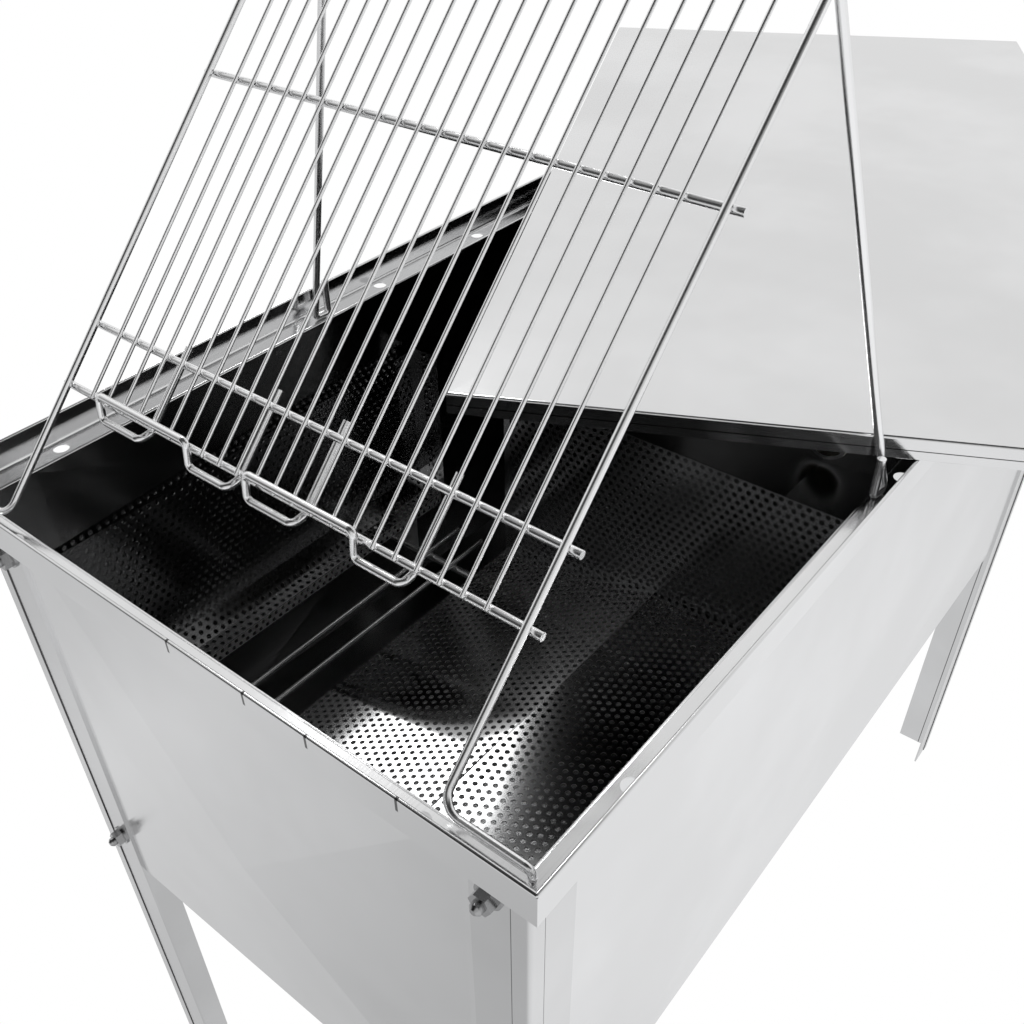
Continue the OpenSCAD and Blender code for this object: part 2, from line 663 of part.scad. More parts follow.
// Length of the clamp stud beyond the blade
stud_end = 19;
module clamp_stud() color("silver") place() at_port(face_y) translate([ear_x, 0, 0])
    pin(face_t + blade_gap + blade_t + stud_end);
slot_play = 2.4;
slot_w = pin_d + slot_play;
tab_w = 2 * ear_r - 4;
module gate_blade() color("gainsboro") place() at_port(blade_y) difference() {
    linear_extrude(blade_t) difference() {
        union() {
            ear_outline(blade_r);
            translate([ear_x - ear_r, 0]) rotate(tab_turn) {
                translate([0, -tab_w / 2]) square([tab_l, tab_w]);
                translate([tab_l, 0]) circle(tab_w / 2);
            }
        }
        translate([ear_x - slot_w / 2, -2 * ear_r]) square([slot_w, 2 * ear_r]);
        translate([ear_x, 0]) circle(d = slot_w);
    }
    translate([-ear_x, 0, -lap]) cylinder(h = blade_t + 2 * lap, d = pin_d + 2 * fit);
}
// The wing nut's flange, hub and wings: thicknesses, and the wings' root and tip
flange_t = 3;
hub_h = 9;
wing_t = 2.5;
wing_root = [5, 3.5];
wing_root_r = 2.5;
wing_tip_r = 4.5;
wing_tip = [wing_r - wing_tip_r, 11];
module wing() translate([0, -wing_t / 2, 0]) rotate([90, 0, 0]) mirror([0, 0, 1])
    linear_extrude(wing_t) hull() {
        translate(wing_root) circle(wing_root_r);
        translate(wing_tip) circle(wing_tip_r);
    }
module wing_nut() color("silver") place() at_port(blade_y + blade_t + seat) translate([ear_x, 0, 0])
    difference() {
        union() {
            cylinder(h = flange_t, d = 2.4 * pin_d);
            cylinder(h = hub_h, d1 = 2.2 * pin_d, d2 = 1.6 * pin_d);
            for (s = [0, 1]) mirror([s, 0, 0]) wing();
        }
        translate([0, 0, -lap]) cylinder(h = hub_h + 2 * lap, d = pin_d + 2 * fit);
    }

rim_ledge();
rim_lip();
wall_near();
wall_far();
wall_left();
wall_right();
tank_floor();
sieve_cross_rods();
sieve_long_rods();
leg_near_left();
leg_near_right();
leg_far_left();
leg_far_right();
leg_studs();
leg_washers();
leg_nuts();
outlet_collar();
gate_body();
gate_seal();
gate_pivot();
clamp_stud();
gate_blade();
wing_nut();
lid_top();
lid_edge();
rack_rod_left();
rack_rod_right();
rack_bars();
rack_top_bar();
rack_wires();
frame_rest_left();
frame_rest_right();
prop_left();
prop_right();
sieve_right_side();
sieve_right_floor();
sieve_right_slope();
sieve_right_folds();
sieve_right_ends();
sieve_left_side();
sieve_left_folds();
sieve_left_ends();
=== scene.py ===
"""Uncapping tank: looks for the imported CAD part, the photograph's camera and a plain studio."""
import math

import bmesh
import bpy
from mathutils import Matrix, Vector


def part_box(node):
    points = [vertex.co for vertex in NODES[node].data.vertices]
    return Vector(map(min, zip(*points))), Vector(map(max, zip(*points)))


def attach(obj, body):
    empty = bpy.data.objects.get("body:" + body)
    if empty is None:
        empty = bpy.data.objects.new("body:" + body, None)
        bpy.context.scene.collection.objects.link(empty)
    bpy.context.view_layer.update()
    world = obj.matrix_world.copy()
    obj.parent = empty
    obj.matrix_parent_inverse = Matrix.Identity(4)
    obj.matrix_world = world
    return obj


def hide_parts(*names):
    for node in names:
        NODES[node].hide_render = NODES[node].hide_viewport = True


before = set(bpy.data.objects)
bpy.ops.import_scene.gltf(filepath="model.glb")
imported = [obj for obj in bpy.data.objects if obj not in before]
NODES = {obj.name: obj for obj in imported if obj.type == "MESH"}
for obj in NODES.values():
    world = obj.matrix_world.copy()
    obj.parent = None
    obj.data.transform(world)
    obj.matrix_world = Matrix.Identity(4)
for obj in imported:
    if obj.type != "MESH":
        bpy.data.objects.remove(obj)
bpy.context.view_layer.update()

# Places
# The part's own frame has its origin under the middle of its box; sizes in the tank's frame are
# from the middle of the rim's rectangle, so the ledge's box gives the shift between the two.
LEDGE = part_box("rim_ledge")
TANK = (Vector(LEDGE[0]) + Vector(LEDGE[1])) / 2
# Height of the rim's upstand over the ledge, and of the rim's top over the floor
UPSTAND = 23
RIM_Z = LEDGE[1].z * 1000 + UPSTAND


def mm(x, y, z):
    """A place in the tank's frame, in millimetres, as a place in the scene."""
    return Vector((TANK.x + x / 1000, TANK.y + y / 1000, z / 1000))


# Shader maths
class Value:
    """One socket of a node tree, with the operators that the materials and the lattice need."""

    def __init__(self, tree, socket):
        self.tree, self.socket = tree, socket

    def node(self, kind, inputs, output=0, **settings):
        """Another node of the tree: its settings first, then the values or links of its sockets."""
        made = self.tree.nodes.new(kind)
        for key, value in settings.items():
            setattr(made, key, value)
        for key, value in inputs.items():
            if isinstance(value, Value):
                self.tree.links.new(value.socket, made.inputs[key])
            else:
                made.inputs[key].default_value = value
        return Value(self.tree, made.outputs[output])

    def math(self, operation, *others):
        """A Math node of this operation, on this value and the others."""
        return self.node("ShaderNodeMath", dict(enumerate((self,) + others)), operation=operation)

    def vector_math(self, operation, *others):
        """A Vector Math node of this operation, on this value and the others."""
        return self.node("ShaderNodeVectorMath", dict(enumerate((self,) + others)), operation=operation)

    def __add__(self, other):
        return self.math("ADD", other)

    __radd__ = __add__

    def __sub__(self, other):
        if isinstance(other, tuple):
            return self.vector_math("SUBTRACT", other)
        return self.math("SUBTRACT", other)

    def __rsub__(self, other):
        return self.node("ShaderNodeMath", {0: other, 1: self}, operation="SUBTRACT")

    def __mul__(self, other):
        return self.math("MULTIPLY", other)

    __rmul__ = __mul__

    def __truediv__(self, other):
        return self.math("DIVIDE", other)

    def smooth(self, low, high):
        """0 below the first value and 1 over the second, with a soft change between them."""
        return self.node("ShaderNodeMapRange", {"Value": self, "From Min": low, "From Max": high},
                         interpolation_type="SMOOTHSTEP")

    def ramp(self, low, high):
        """0 below the first value and 1 over the second, with an even change between them."""
        return self.node("ShaderNodeMapRange", {"Value": self, "From Min": low, "From Max": high})

    def scaled(self, factors):
        """A vector with each part times its own factor."""
        return self.vector_math("MULTIPLY", factors)

    def noise(self, scale, detail=3.0, roughness=0.5):
        """Noise at this place, with a scale in spots to the metre."""
        return self.node("ShaderNodeTexNoise", {"Vector": self, "Scale": scale, "Detail": detail,
                                                "Roughness": roughness})

    def mix_colour(self, low, high):
        """The first colour where this value is 0, and the second where it is 1."""
        return self.node("ShaderNodeMix", {0: self, 6: low, 7: high}, output=2, data_type="RGBA")

    def xyz(self):
        """The three parts of a vector."""
        split = self.node("ShaderNodeSeparateXYZ", {0: self}).socket.node
        return [Value(self.tree, part) for part in split.outputs]


# Materials
def grey(v, tint=0.0):
    """A grey as a colour, a little bluer with a tint."""
    return (v, v + tint * 0.3, v + tint, 1.0)


def material(name):
    """A new material, its Principled surface and its object coordinates."""
    made = bpy.data.materials.new(name)
    made.use_nodes = True
    tree = made.node_tree
    place = Value(tree, None).node("ShaderNodeTexCoord", {}, output="Object")
    return made, tree.nodes["Principled BSDF"], place


def link(value, surface, socket):
    """Feeds a value to one of the surface's sockets."""
    value.tree.links.new(value.socket, surface.inputs[socket])


def bump(surface, height):
    """The surface's bump, from a height in metres."""
    made = height.node("ShaderNodeBump", {"Strength": 1.0, "Distance": 1.0, "Height": height})
    link(made, surface, "Normal")


def normal(place):
    """The face's own direction, along X, Y and Z."""
    return place.node("ShaderNodeTexCoord", {}, output="Normal").xyz()


def from_tank(place):
    """Distances from the middle of the rim's rectangle on the floor, along X, Y and Z."""
    return (place - tuple(mm(0, 0, 0))).xyz()


def shaded_inside_mask(place):
    """Mask for the painted shade inside the tank: 1 on faces inside or under the tank's edges that look to
    its middle, 0 on the others.
    """
    out_x, out_y, up = from_tank(place)
    x, y, z = normal(place)
    under = z.math("ABSOLUTE").smooth(*LEVEL).math("MAXIMUM", 1.0 - up.smooth(*UNDER_LEDGE))
    towards = 0.0 - (x * out_x / INSIDE[0] + y * out_y / INSIDE[1] + z * 0.5)
    return towards.smooth(*TURNED) * under


def steel(name, shade, roughness, grain=(1.0, 1.0, 1.0), grain_depth=0.00002, waviness=0.0004,
          smudge=0.05, inside_shade=None):
    """Stainless steel: grain along one way, faint waves, rubbed patches, and painted shade inside if given.
    """
    made, surface, place = material(name)
    surface.inputs["Metallic"].default_value = 1.0
    patches = place.noise(RUBBED, 4.0, 0.55)
    fine = place.scaled(grain).noise(GRAIN, 2.0, 0.6)
    tone = patches.smooth(0.35, 0.7)
    tint = tone.mix_colour(grey(shade * 0.94, 0.004), grey(shade * 1.03, 0.006))
    # Painted shade: faces inside the tank take a darker grey, which halves again towards the far end.
    if inside_shade:
        far = from_tank(place)[1].smooth(*FAR_SHADE_SPAN)
        tint = shaded_inside_mask(place).mix_colour(tint, far.mix_colour(grey(inside_shade), grey(inside_shade * 0.5)))
    if name in MARKS:
        tint = MARKS[name](place).mix_colour(tint, grey(LINE_SHADE))
    link(tint, surface, "Base Color")
    link(roughness + (patches - 0.5) * smudge + (fine - 0.5) * smudge, surface, "Roughness")
    bump(surface, fine * grain_depth + place.noise(WAVES, 1.0, 0.4) * waviness)
    return made


def perforated_steel(name, shade, roughness):
    """Perforated sheet: dark, waved, a painted highlight in the floors' holes, pressed down in the right
    tray.
    """
    made, surface, place = material(name)
    surface.inputs["Metallic"].default_value = 1.0
    patches = place.noise(TRAY_RUBBED, 4.0, 0.55)
    tint = patches.smooth(0.3, 0.7).mix_colour(grey(shade * 0.9, 0.004), grey(shade * 1.05, 0.004))
    across, along, up = (place - tuple(mm(*DENT))).xyz()
    from_middle = (along - TRAY_MIDDLE).math("ABSOLUTE")
    floors = (1.0 - up.smooth(*OVER_FLOOR)) * (1.0 - from_middle.smooth(*TRAY_END))
    # Painted highlight: the walls of the holes in the trays' floors are near white, so that the holes catch
    # light.
    holes = (1.0 - normal(place)[2].math("ABSOLUTE").smooth(0.3, 0.8)) * floors
    link(holes.mix_colour(tint, grey(0.95)), surface, "Base Color")
    link(roughness + (patches - 0.5) * 0.05 + holes * 0.4, surface, "Roughness")
    strength = (across.ramp(*DENT_LEFT) - across.ramp(*DENT_RIGHT)) * (1.0 - along.smooth(*DENT_END))
    dent = (0.0 - across) * DENT_SLOPE * strength
    bump(surface, dent + place.noise(TRAY_WAVES, 1.0, 0.4) * TRAY_WAVINESS)
    return made


def plastic(name, colour, roughness):
    """Moulded plastic with a faint orange peel."""
    made, surface, place = material(name)
    surface.inputs["Base Color"].default_value = colour
    surface.inputs["IOR"].default_value = 1.5
    link(roughness + (place.noise(60.0) - 0.5) * 0.08, surface, "Roughness")
    bump(surface, place.noise(700.0) * 0.00002)
    return made


def near(value, at, half):
    """1 within half of a place, 0 elsewhere, with a soft edge."""
    return 1.0 - (value - at).math("ABSOLUTE").smooth(half * 0.7, half * 1.3)


def rim_marks(place):
    """Seams across the hem of the near rim."""
    across, along, up = from_tank(place)
    seams = near(across, RIM_SEAMS[0], SEAM_HALF)
    for at in RIM_SEAMS[1:]:
        seams = seams.math("MAXIMUM", near(across, at, SEAM_HALF))
    return seams * (0.0 - along).smooth(*NEAR_FACE) * up.smooth(*HEM_LOW)


def leg_marks(place):
    """The fine gap beside the doubled strip along each leg's corner."""
    across, along, _ = from_tank(place)
    gap = near(across.math("ABSOLUTE"), LEG_GAP[0], LEG_GAP_HALF)
    return gap.math("MAXIMUM", near(along.math("ABSOLUTE"), LEG_GAP[1], LEG_GAP_HALF))


def lid_marks(place):
    """The fine gap over the hem along the lid's edge."""
    return near(from_tank(place)[2], LID_GAP, LID_GAP_HALF)


# Spots in a metre of the noise in the steel: rubbed patches, fine grain and the sheet's waves
RUBBED, GRAIN, WAVES = 5.0, 900.0, 2.2
# The same for the trays' patches and waves, and the height of these waves in metres
TRAY_RUBBED, TRAY_WAVES, TRAY_WAVINESS = 9.0, 3.0, 0.0015
# Where the marks are, in metres from the tank's middle on the floor
RIM_SEAMS, SEAM_HALF = [0, 0.064, 0.112, 0.175], 0.0009
NEAR_FACE, HEM_LOW = (0.495, 0.4965), (0.8155, 0.8165)
STRIP = 0.0128
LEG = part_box("leg_near_left")[0]
LEG_GAP, LEG_GAP_HALF = (TANK.x - LEG.x - STRIP, TANK.y - LEG.y - STRIP), 0.0005
LID_GAP, LID_GAP_HALF = 0.8325, 0.0004
LINE_SHADE = 0.12
MARKS = {"tank_steel": rim_marks, "leg_steel": leg_marks, "lid_steel": lid_marks}

# The tank's half width and length inside, and the heights between which its inside begins
LEDGE_W = 0.02
INSIDE = [(LEDGE[1][i] - LEDGE[0][i]) / 2 - LEDGE_W for i in range(2)]
UNDER_LEDGE = (LEDGE[0].z - 0.001, LEDGE[0].z)
# The places along the tank between which the painted shade inside deepens to half its grey
FAR_SHADE_SPAN = (-0.1, 0.4)
# How far a face is level, and how far it is turned to the middle, before it counts as either for the
# painted shade
LEVEL, TURNED = (0.5, 0.9), (0.1, 0.3)

# The ridge's near part in the right tray, from which the sheet is pressed down, and its slope
DENT, DENT_SLOPE = (55, -300, 573), 0.217
# Distances in metres from that place: where the pressed part begins and ends, the height over which
# a tray has no floor, the trays' middle, and how far from this middle their end plates begin
DENT_LEFT, DENT_RIGHT, DENT_END = (-0.22, -0.19), (-0.003, 0.0), (0.0, 0.07)
OVER_FLOOR, TRAY_MIDDLE, TRAY_END = (0.006, 0.008), 0.04, (0.208, 0.210)

# Stretch of the grain along each way
ALONG_X, ALONG_Y, ALONG_Z = (0.02, 1.0, 1.0), (1.0, 0.02, 1.0), (1.0, 1.0, 0.02)

# The tank's and the lid's steel take a painted shade on their insides.
MATERIALS = {
    "tank_steel": steel("tank_steel", 0.80, 0.15, ALONG_Y, inside_shade=0.44),
    "lid_steel": steel("lid_steel", 0.80, 0.14, ALONG_X, waviness=0.0006, inside_shade=0.45),
    "floor_steel": steel("floor_steel", 0.34, 0.24, ALONG_Y),
    "leg_steel": steel("leg_steel", 0.74, 0.22, ALONG_Z, waviness=0.0001),
    "rod_steel": steel("rod_steel", 0.97, 0.26, grain_depth=0.0, waviness=0.0, smudge=0.03),
    "sieve_steel": perforated_steel("sieve_steel", 0.36, 0.16),
    "collar_steel": steel("collar_steel", 0.72, 0.2, waviness=0.0),
    "fastener_steel": steel("fastener_steel", 0.42, 0.22, grain_depth=0.0, waviness=0.0, smudge=0.08),
    "seal_rubber": plastic("seal_rubber", grey(0.02), 0.55),
    "gate_plastic": plastic("gate_plastic", (0.74, 0.71, 0.62, 1.0), 0.32),
}
for shown in NODES.values():
    for slot in shown.material_slots:
        slot.material = MATERIALS[slot.material.name.split(".")[0]]


# Repeated shapes
def mesh_object(name, points, faces):
    """A mesh from points and faces, as an object of the scene."""
    mesh = bpy.data.meshes.new(name)
    mesh.from_pydata([tuple(p) for p in points], [], faces)
    mesh.update()
    made = bpy.data.objects.new(name, mesh)
    bpy.context.collection.objects.link(made)
    return made


# Corners of a square round the middle, in order
SQUARE = [(1, 1), (-1, 1), (-1, -1), (1, -1)]


def hole_cell(pitch, row, hole, thick, sides=12):
    """One cell of a perforated sheet: a rectangle with a round hole, both faces and the hole's wall."""
    rim, edge = [], []
    for k in range(sides):
        a = math.radians(360 * k / sides)
        c, s = math.cos(a), math.sin(a)
        rim.append((c * hole / 2, s * hole / 2))
        reach = min(pitch / 2 / max(abs(c), 1e-6), row / 2 / max(abs(s), 1e-6))
        edge.append((c * reach, s * reach))
    for corner in ((x * pitch / 2, y * row / 2) for x, y in SQUARE):
        closest = min(range(sides), key=lambda k: math.dist(edge[k], corner))
        edge[closest] = corner
    points = [(x, y, z) for z in (thick / 2, -thick / 2) for ring in (edge, rim) for x, y in ring]
    faces = []
    for k in range(sides):
        n = (k + 1) % sides
        faces.append((k, n, sides + n, sides + k))
        faces.append((2 * sides + n, 2 * sides + k, 3 * sides + k, 3 * sides + n))
        faces.append((sides + k, sides + n, 3 * sides + n, 3 * sides + k))
    return mesh_object("hole_cell", points, faces)


def lattice_tree(shape, finish):
    """Copies of a shape on a lattice: odd rows and even rows are moved apart by a share of the pitch."""
    tree = bpy.data.node_groups.new("lattice", "GeometryNodeTree")
    ports = {}
    for label, kind, value in (("Columns", "NodeSocketInt", 2), ("Rows", "NodeSocketInt", 2),
                               ("Pitch", "NodeSocketFloat", 0.008), ("Row pitch", "NodeSocketFloat", 0.007),
                               ("Shift", "NodeSocketFloat", 0.5), ("Stretch", "NodeSocketFloat", 1.0)):
        port = tree.interface.new_socket(label, in_out="INPUT", socket_type=kind)
        port.default_value = value
        ports[label] = port.identifier
    tree.interface.new_socket("Geometry", in_out="OUTPUT", socket_type="NodeSocketGeometry")
    given = tree.nodes.new("NodeGroupInput")
    value = {label: Value(tree, given.outputs[label]) for label in ports}
    grid = Value(tree, None).node("GeometryNodeMeshGrid", {
        "Size X": (value["Columns"] - 1) * value["Pitch"],
        "Size Y": (value["Rows"] - 1) * value["Row pitch"],
        "Vertices X": value["Columns"],
        "Vertices Y": value["Rows"]})
    place = grid.node("GeometryNodeInputPosition", {})
    across, up, _ = place.xyz()
    # A quarter of a row is added, so that no row lies on the edge of the rounding
    row = (up / value["Row pitch"] + (value["Rows"] - 1) * 0.5 + 0.25).math("FLOOR")
    odd = row.math("FLOORED_MODULO", 2.0)
    moved = place.node("ShaderNodeCombineXYZ", {"X": (odd - 0.5) * value["Shift"] * value["Pitch"]})
    points = grid.node("GeometryNodeSetPosition", {"Geometry": grid, "Offset": moved})
    source = place.node("GeometryNodeObjectInfo", {"Object": shape}, output="Geometry")
    stretch = place.node("ShaderNodeCombineXYZ", {"X": 1.0, "Y": value["Stretch"], "Z": 1.0})
    copies = points.node("GeometryNodeInstanceOnPoints", {
        "Points": points, "Instance": source, "Scale": stretch})
    solid = copies.node("GeometryNodeRealizeInstances", {"Geometry": copies})
    done = solid.node("GeometryNodeSetMaterial", {"Geometry": solid, "Material": finish})
    tree.links.new(done.socket, tree.nodes.new("NodeGroupOutput").inputs[0])
    return tree, ports


def lattice_mesh(tree, ports, values):
    """The lattice as a plain mesh, with these inputs."""
    holder = mesh_object("lattice_holder", [], [])
    modifier = holder.modifiers.new("lattice", "NODES")
    modifier.node_group = tree
    for label, value in values.items():
        modifier[ports[label]] = value
    shown = holder.evaluated_get(bpy.context.evaluated_depsgraph_get())
    mesh = bpy.data.meshes.new_from_object(shown)
    bpy.data.objects.remove(holder)
    return mesh


def append(target, mesh, matrix):
    """Adds a mesh to a bmesh, moved by the matrix."""
    mesh.transform(matrix)
    target.from_mesh(mesh)
    bpy.data.meshes.remove(mesh)


def add_box(target, low, high, matrix):
    """A box between two corners, moved by the matrix."""
    sides = [(low[i], high[i]) for i in range(3)]
    corners = [Vector((x, y, z)) for x in sides[0] for y in sides[1] for z in sides[2]]
    made = [target.verts.new(matrix @ corner) for corner in corners]
    for face in ((0, 1, 3, 2), (4, 6, 7, 5), (0, 4, 5, 1), (2, 3, 7, 6), (0, 2, 6, 4), (1, 5, 7, 3)):
        target.faces.new([made[i] for i in face])


def add_prism(target, rim, half):
    """A flat plate whose outline is the rim, in order, and which reaches half to each side of it."""
    front = [target.verts.new(p - half) for p in rim]
    back = [target.verts.new(p + half) for p in rim]
    target.faces.new(front)
    target.faces.new(back[::-1])
    for i in range(len(rim)):
        n = (i + 1) % len(rim)
        target.faces.new((front[n], front[i], back[i], back[n]))


# Perforated trays
# In metres: the holes' pitch and diameter, the sheet's thickness and its plain border's width
PITCH, HOLE, SHEET, BORDER = 0.008, 0.0046, 0.001, 0.004
# How much thicker the plain strips are than the perforated part that they lap
PROUD = 1.04
ROW = PITCH * math.sqrt(3) / 2
CELL = hole_cell(PITCH, ROW, HOLE, SHEET)
HOLES, HOLE_PORTS = lattice_tree(CELL, MATERIALS["sieve_steel"])


def perforated(target, start, along, across):
    """A perforated sheet from a corner, with two edges as vectors and plain strips at the first's ends."""
    u, v = along.normalized(), across.normalized()
    turn = Matrix((u, v, u.cross(v))).transposed().to_4x4()
    turn.translation = start + along / 2 + across / 2
    full_u, full_v, t = along.length / 2, across.length / 2, SHEET / 2
    rows = round(across.length / ROW)
    columns = int((along.length - 2 * BORDER) / PITCH)
    if rows < 2:
        add_box(target, (-full_u, -full_v, -t), (full_u, full_v, t), turn)
        return
    row = across.length / rows
    holes = lattice_mesh(HOLES, HOLE_PORTS, {
        "Columns": columns, "Rows": rows, "Pitch": PITCH, "Row pitch": row, "Stretch": row / ROW})
    append(target, holes, turn)
    inner, t = (columns - 0.5) * PITCH / 2, t * PROUD
    for low, high in ((-full_u, -inner), (inner, full_u)):
        add_box(target, (low, -full_v, -t), (high, full_v, t), turn)


def finished(name, made, slot, body, *nodes):
    """A bmesh as a piece of the scene that rides a body, and takes the place of these nodes if any."""
    mesh = bpy.data.meshes.new(name)
    made.to_mesh(mesh)
    made.free()
    mesh.materials.clear()
    mesh.materials.append(MATERIALS[slot])
    piece = bpy.data.objects.new(name, mesh)
    bpy.context.collection.objects.link(piece)
    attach(piece, body)
    if nodes:
        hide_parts(*nodes)
    return piece


def section_piece(name, body, section, nodes):
    """Perforated strips between neighbouring points (x, z) of a folded sheet's section."""
    made = bmesh.new()
    boxes = [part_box(node) for node in nodes]
    low, high = min(box[0].y for box in boxes), max(box[1].y for box in boxes)
    for (x0, z0), (x1, z1) in zip(section, section[1:]):
        a, b = mm(x0, 0, z0), mm(x1, 0, z1)
        a.y = b.y = low
        perforated(made, a, Vector((0, high - low, 0)), b - a)
    return finished(name, made, "sieve_steel", body, *nodes)


def end_piece(name, body, section, node):
    """The perforated end plates of a tray, and the plain bearers under its floor."""
    made = bmesh.new()
    low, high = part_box(node)
    across, up = Vector((high.x - low.x, 0, 0)), Vector((0, 0, high.z - low.z))
    for y in (low.y + SHEET / 2, high.y - SHEET / 2):
        perforated(made, Vector((low.x, y, low.z)), across, up)
    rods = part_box("sieve_cross_rods")
    rod_r = (rods[1].z - rods[0].z) / 2
    for y in (rods[0].y + rod_r, rods[1].y - rod_r):
        top = [mm(x, 0, z - BEARER_GAP) for x, z in section[1:4]]
        rim = [Vector((p.x, y, p.z)) for p in top]
        rim += [Vector((rim[2].x, y, low.z)), Vector((rim[0].x, y, low.z))]
        add_prism(made, rim, Vector((0, SHEET / 2, 0)))
    return finished(name, made, "sieve_steel", body, node)


# How far the bearers' tops lie below the middle of the tray's sheet
BEARER_GAP = 0.6
# Each tray's folds from its top edge to its inner lip: across, and up from the rim's top
RIGHT = [(x, RIM_Z + z) for x, z in ((236, -95), (236, -247), (55, -253), (-125, -292), (-125, -300))]
LEFT = [(x, RIM_Z + z) for x, z in ((-236, -95), (-236, -235), (-222, -250), (-208, -252), (-208, -264))]
section_piece("right_tray_side", "sieve_right", RIGHT[:2], ["sieve_right_side"])
section_piece("right_tray_floor", "sieve_right", RIGHT[1:3], ["sieve_right_floor"])
section_piece("right_tray_slope", "sieve_right", RIGHT[2:], ["sieve_right_slope", "sieve_right_folds"])
section_piece("left_tray_mesh", "sieve_left", LEFT, ["sieve_left_side", "sieve_left_folds"])
end_piece("right_tray_ends", "sieve_right", RIGHT, "sieve_right_ends")
end_piece("left_tray_ends", "sieve_left", LEFT, "sieve_left_ends")
bpy.data.objects.remove(CELL)


# Folded edges
def rings(target, corners_at, profile):
    """Four-sided rings, one for each (inset, height), joined into a skin."""
    made = [[target.verts.new(p) for p in corners_at(inset, up)] for inset, up in profile]
    for low, high in zip(made, made[1:]):
        for i in range(4):
            n = (i + 1) % 4
            target.faces.new((low[i], low[n], high[n], high[i]))
    return made


def quarter(steps=5):
    """The angles of a quarter turn."""
    return [math.pi / 2 * k / steps for k in range(steps + 1)]


def fold(inset, up, radius):
    """A quarter round from a vertical face to a level one."""
    return [(inset + radius * (1 - math.cos(a)), up - radius * (1 - math.sin(a))) for a in quarter()]


def lid_shell():
    """The lid as one bent sheet: a hemmed edge, a rounded fold and a cross-broken top."""
    made = bmesh.new()
    turn = Matrix.Rotation(LID_TURN, 4, "Z")

    def place(x, y, up):
        """A place in the scene, from millimetres along the lid from its near left corner."""
        return LID_AT + turn @ Vector((x, y, up)) / 1000

    def corners_at(inset, up):
        """The corners of the lid's outline, moved in and up."""
        w, l = LID_W - inset, LID_L - inset
        return [place(inset, inset, up), place(w, inset, up), place(w, l, up), place(inset, l, up)]

    thick, bend = STEEL, HEM_BEND
    hem = [(2 * thick, LID_HEM), (2 * thick, bend), (2 * thick - bend, 0), (bend, 0), (0, bend)]
    outer = hem + fold(0, LID_H, LID_FOLD) + [(LID_BORDER, LID_H)]
    inner = [(2 * thick, LID_HEM), (thick, LID_HEM), (thick, LID_H - thick), (LID_BORDER, LID_H - thick)]
    top = rings(made, corners_at, outer)[-1]
    under = rings(made, corners_at, inner)[-1]
    peak = made.verts.new(place(LID_W / 2, LID_L / 2, LID_H + LID_RISE))
    below = made.verts.new(place(LID_W / 2, LID_L / 2, LID_H + LID_RISE - thick))
    for i in range(4):
        n = (i + 1) % 4
        made.faces.new((top[i], top[n], peak))
        made.faces.new((under[n], under[i], below))
    bmesh.ops.remove_doubles(made, verts=made.verts, dist=0.00001)
    bmesh.ops.recalc_face_normals(made, faces=made.faces)
    return finished("lid_shell", made, "lid_steel", "lid", "lid_top", "lid_edge")


def swept(target, reach, section):
    """A closed section (out, height) swept round a rectangle in the tank's frame."""
    made = []
    for out, up in section:
        x, y = reach[0] + out, reach[1] + out
        made.append([target.verts.new(mm(a, b, up)) for a, b in ((-x, -y), (x, -y), (x, y), (-x, y))])
    for low, high in zip(made, made[1:] + made[:1]):
        for i in range(4):
            n = (i + 1) % 4
            target.faces.new((low[i], low[n], high[n], high[i]))


def ledge_folds():
    """The ledge's two folds: a rounded edge over the walls, and a hollow one at the foot of the rim."""
    made = bmesh.new()
    edge = fold(-FOLD_PROUD, LEDGE_TOP + FOLD_PROUD, FOLD_R)
    under = LEDGE_TOP - EDGE_SUNK
    swept(made, [half * 1000 for half in INSIDE], edge + [(FOLD_R, under), (EDGE_SUNK, under)])
    foot = [(HOLLOW_R * (math.sin(a) - 1), LEDGE_TOP + HOLLOW_R * (1 - math.cos(a))) for a in quarter()]
    under = LEDGE_TOP - HOLLOW_SUNK
    back = [(HOLLOW_SUNK, LEDGE_TOP + HOLLOW_R), (HOLLOW_SUNK, under), (-HOLLOW_R, under)]
    swept(made, RIM_INSIDE, foot + back)
    bmesh.ops.recalc_face_normals(made, faces=made.faces)
    return finished("ledge_folds", made, "tank_steel", "tank")


# The sheet's thickness
STEEL = 1.2
# The lid's turn, and its width, length and near left corner from the box round its turned edge
LID_TURN = math.radians(27)
LID_BOX = [Vector(corner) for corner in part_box("lid_edge")]
SPAN = (LID_BOX[1] - LID_BOX[0]) * 1000
COS, SIN = math.cos(LID_TURN), math.sin(LID_TURN)
LID_W = (SPAN.x * COS - SPAN.y * SIN) / (COS ** 2 - SIN ** 2)
LID_L = (SPAN.y * COS - SPAN.x * SIN) / (COS ** 2 - SIN ** 2)
LID_AT = LID_BOX[0] + Vector((LID_L * SIN / 1000, 0, 0))
LID_H = SPAN.z + STEEL
LID_RISE = (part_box("lid_top")[1].z - LID_BOX[1].z) * 1000 - STEEL
# The lid's hem, the bend below it, the fold's radius and the level border beside the fold
LID_HEM, HEM_BEND, LID_FOLD, LID_BORDER = 7, 0.6, 2.0, 4
# The ledge's folds: their radii, how far the edge stands proud, and how far both sink into the sheet
LEDGE_TOP = LEDGE[1].z * 1000
RIM_INSIDE = [(LEDGE[1][i] - LEDGE[0][i]) * 500 - STEEL for i in range(2)]
FOLD_R, FOLD_PROUD, EDGE_SUNK = 1.8, 0.3, 0.4
HOLLOW_R, HOLLOW_SUNK = 2.5, 0.3
lid_shell()
ledge_folds()


# Welds
def bead(radius):
    """A small rounded lump of weld."""
    made = bmesh.new()
    bmesh.ops.create_icosphere(made, subdivisions=1, radius=radius)
    mesh = bpy.data.meshes.new("bead")
    made.to_mesh(mesh)
    made.free()
    held = bpy.data.objects.new("bead", mesh)
    bpy.context.collection.objects.link(held)
    return held


